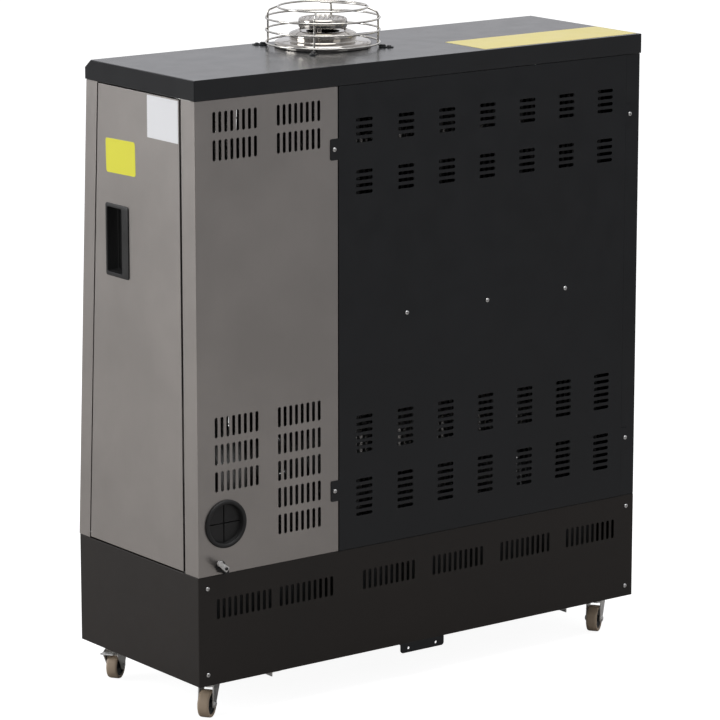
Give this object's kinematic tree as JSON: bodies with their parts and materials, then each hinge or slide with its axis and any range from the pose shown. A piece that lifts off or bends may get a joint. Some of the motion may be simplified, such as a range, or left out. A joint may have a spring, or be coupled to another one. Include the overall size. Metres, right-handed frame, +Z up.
{
  "type": "infrared oil heater",
  "caption": "Free-standing infrared oil heater on castors, with a leaning emitter window, louvred rear cover, service door, tank base and a guarded flue on its lid.",
  "frame": {"origin": "on the floor, under the centre of the heater's bounding box", "axes": "+Z up; the front with the emitter window faces -Y; the service door is on the +X side"},
  "size_m": [1.0063, 0.4246, 1.2203],
  "materials": {
    "skirt": "satin brownish black powder coat",
    "zinc": "zinc-plated sheet",
    "black_paint": "satin black powder coat",
    "tank": "grey coated steel",
    "red_plastic": "red moulded plastic",
    "black_plastic": "black moulded plastic",
    "stainless": "satin stainless sheet",
    "pale_label": "blank pale label",
    "mirror_sheet": "polished reflector sheet",
    "emitter": "black ceramic coating",
    "cast_alloy": "cast aluminium",
    "copper": "copper tube",
    "dark_glass": "dark display window",
    "chrome_wire": "chromed wire",
    "polished": "polished stainless",
    "black_rubber": "black rubber",
    "wheel": "beige-brown wheel",
    "button_grey": "grey moulded plastic"
  },
  "bodies": {
    "cabinet": {"base_tray": "skirt", "base_rear_panel": "skirt", "base_deck": "zinc", "base_stiffeners": "zinc", "anchor_bracket": "black_paint", "fuel_tank": "tank", "filler_neck": "zinc", "fuel_gauge": "black_plastic", "rear_panel": "stainless", "rear_cover": "black_paint", "far_side_panel": "black_paint", "front_panel": "stainless", "top_lid": "black_paint", "lid_label": "pale_label", "bulkhead": "zinc", "inner_back_plate": "zinc", "reflector": "mirror_sheet", "emitter_tubes": "emitter", "tube_brackets": "zinc", "burner_housing": "cast_alloy", "burner_motor": "black_paint", "ignition_box": "black_plastic", "fuel_pump": "zinc", "fuel_filter": "cast_alloy", "fuel_lines": "copper", "control_box": "zinc", "control_panel": "black_plastic", "display_window": "dark_glass", "front_guard": "chrome_wire", "hinge_brackets": "zinc", "flue_base": "polished", "flue_cap": "polished", "flue_guard": "chrome_wire", "cable_grommet": "black_rubber", "drain_cock": "black_plastic", "castor_plates": "zinc", "cover_screws": "zinc", "base_screws": "zinc"},
    "door": {"side_door": "stainless", "hinge_pins": "zinc", "door_pull": "black_plastic", "door_labels": "pale_label"},
    "fuel_cap": {"fuel_cap": "red_plastic"},
    "burner_fan": {"burner_fan": "zinc"},
    "drain_lever": {"drain_lever": "zinc"},
    "button_power": {"button_power": "button_grey"},
    "button_mode": {"button_mode": "button_grey"},
    "button_warmer": {"button_warmer": "button_grey"},
    "button_cooler": {"button_cooler": "button_grey"},
    "fork_rear_door": {"castor_fork_rear_door": "zinc"},
    "wheel_rear_door": {"castor_wheel_rear_door": "wheel"},
    "fork_rear_far": {"castor_fork_rear_far": "zinc"},
    "wheel_rear_far": {"castor_wheel_rear_far": "wheel"},
    "fork_front_door": {"castor_fork_front_door": "zinc"},
    "wheel_front_door": {"castor_wheel_front_door": "wheel"},
    "fork_front_far": {"castor_fork_front_far": "zinc"},
    "wheel_front_far": {"castor_wheel_front_far": "wheel"},
    "pedal_front_door": {"brake_pedal_front_door": "zinc"},
    "pedal_front_far": {"brake_pedal_front_far": "zinc"}
  },
  "joints": [
    {"name": "door_hinge", "type": "hinge", "parent": "cabinet", "child": "door", "pos_m": [0.492, 0.1385, 0.69], "axis": [0, 0, 1], "range_deg": [0, 100]},
    {"name": "fuel_cap_lift", "type": "slide", "parent": "cabinet", "child": "fuel_cap", "axis": [0, 0, 1], "range_m": [0, 0.06]},
    {"name": "burner_fan_spin", "type": "hinge", "parent": "cabinet", "child": "burner_fan", "pos_m": [0.33, -0.024, 0.4], "axis": [1, 0, 0], "continuous": true},
    {"name": "drain_lever_turn", "type": "hinge", "parent": "cabinet", "child": "drain_lever", "pos_m": [0.454, 0.209, 0.284], "axis": [0, 1, 0], "range_deg": [0, 90]},
    {"name": "press_power", "type": "slide", "parent": "cabinet", "child": "button_power", "axis": [0, 0.9985, -0.0552], "range_m": [0, 0.0012], "stiffness_N_per_m": 600, "springref_m": -0.0006},
    {"name": "press_mode", "type": "slide", "parent": "cabinet", "child": "button_mode", "axis": [0, 0.9985, -0.0552], "range_m": [0, 0.0012], "stiffness_N_per_m": 600, "springref_m": -0.0006},
    {"name": "press_warmer", "type": "slide", "parent": "cabinet", "child": "button_warmer", "axis": [0, 0.9985, -0.0552], "range_m": [0, 0.0012], "stiffness_N_per_m": 600, "springref_m": -0.0006},
    {"name": "press_cooler", "type": "slide", "parent": "cabinet", "child": "button_cooler", "axis": [0, 0.9985, -0.0552], "range_m": [0, 0.0012], "stiffness_N_per_m": 600, "springref_m": -0.0006},
    {"name": "castor_swivel_rear_door", "type": "hinge", "parent": "cabinet", "child": "fork_rear_door", "pos_m": [0.449, 0.147, 0.06], "axis": [0, 0, 1], "continuous": true},
    {"name": "castor_roll_rear_door", "type": "hinge", "parent": "fork_rear_door", "child": "wheel_rear_door", "pos_m": [0.45871, 0.15405, 0.025], "axis": [0.5878, -0.809, 0], "continuous": true},
    {"name": "castor_swivel_rear_far", "type": "hinge", "parent": "cabinet", "child": "fork_rear_far", "pos_m": [-0.449, 0.147, 0.06], "axis": [0, 0, 1], "continuous": true},
    {"name": "castor_roll_rear_far", "type": "hinge", "parent": "fork_rear_far", "child": "wheel_rear_far", "pos_m": [-0.43929, 0.15405, 0.025], "axis": [0.5878, -0.809, 0], "continuous": true},
    {"name": "castor_swivel_front_door", "type": "hinge", "parent": "cabinet", "child": "fork_front_door", "pos_m": [0.449, -0.147, 0.06], "axis": [0, 0, 1], "continuous": true},
    {"name": "castor_roll_front_door", "type": "hinge", "parent": "fork_front_door", "child": "wheel_front_door", "pos_m": [0.45871, -0.13995, 0.025], "axis": [0.5878, -0.809, 0], "continuous": true},
    {"name": "castor_swivel_front_far", "type": "hinge", "parent": "cabinet", "child": "fork_front_far", "pos_m": [-0.449, -0.147, 0.06], "axis": [0, 0, 1], "continuous": true},
    {"name": "castor_roll_front_far", "type": "hinge", "parent": "fork_front_far", "child": "wheel_front_far", "pos_m": [-0.43929, -0.13995, 0.025], "axis": [0.5878, -0.809, 0], "continuous": true},
    {"name": "brake_front_door", "type": "hinge", "parent": "fork_front_door", "child": "pedal_front_door", "pos_m": [0.4757, -0.1276, 0.052], "axis": [-0.5878, 0.809, 0], "range_deg": [0, 18]},
    {"name": "brake_front_far", "type": "hinge", "parent": "fork_front_far", "child": "pedal_front_far", "pos_m": [-0.4223, -0.1276, 0.052], "axis": [-0.5878, 0.809, 0], "range_deg": [0, 18]}
  ]
}
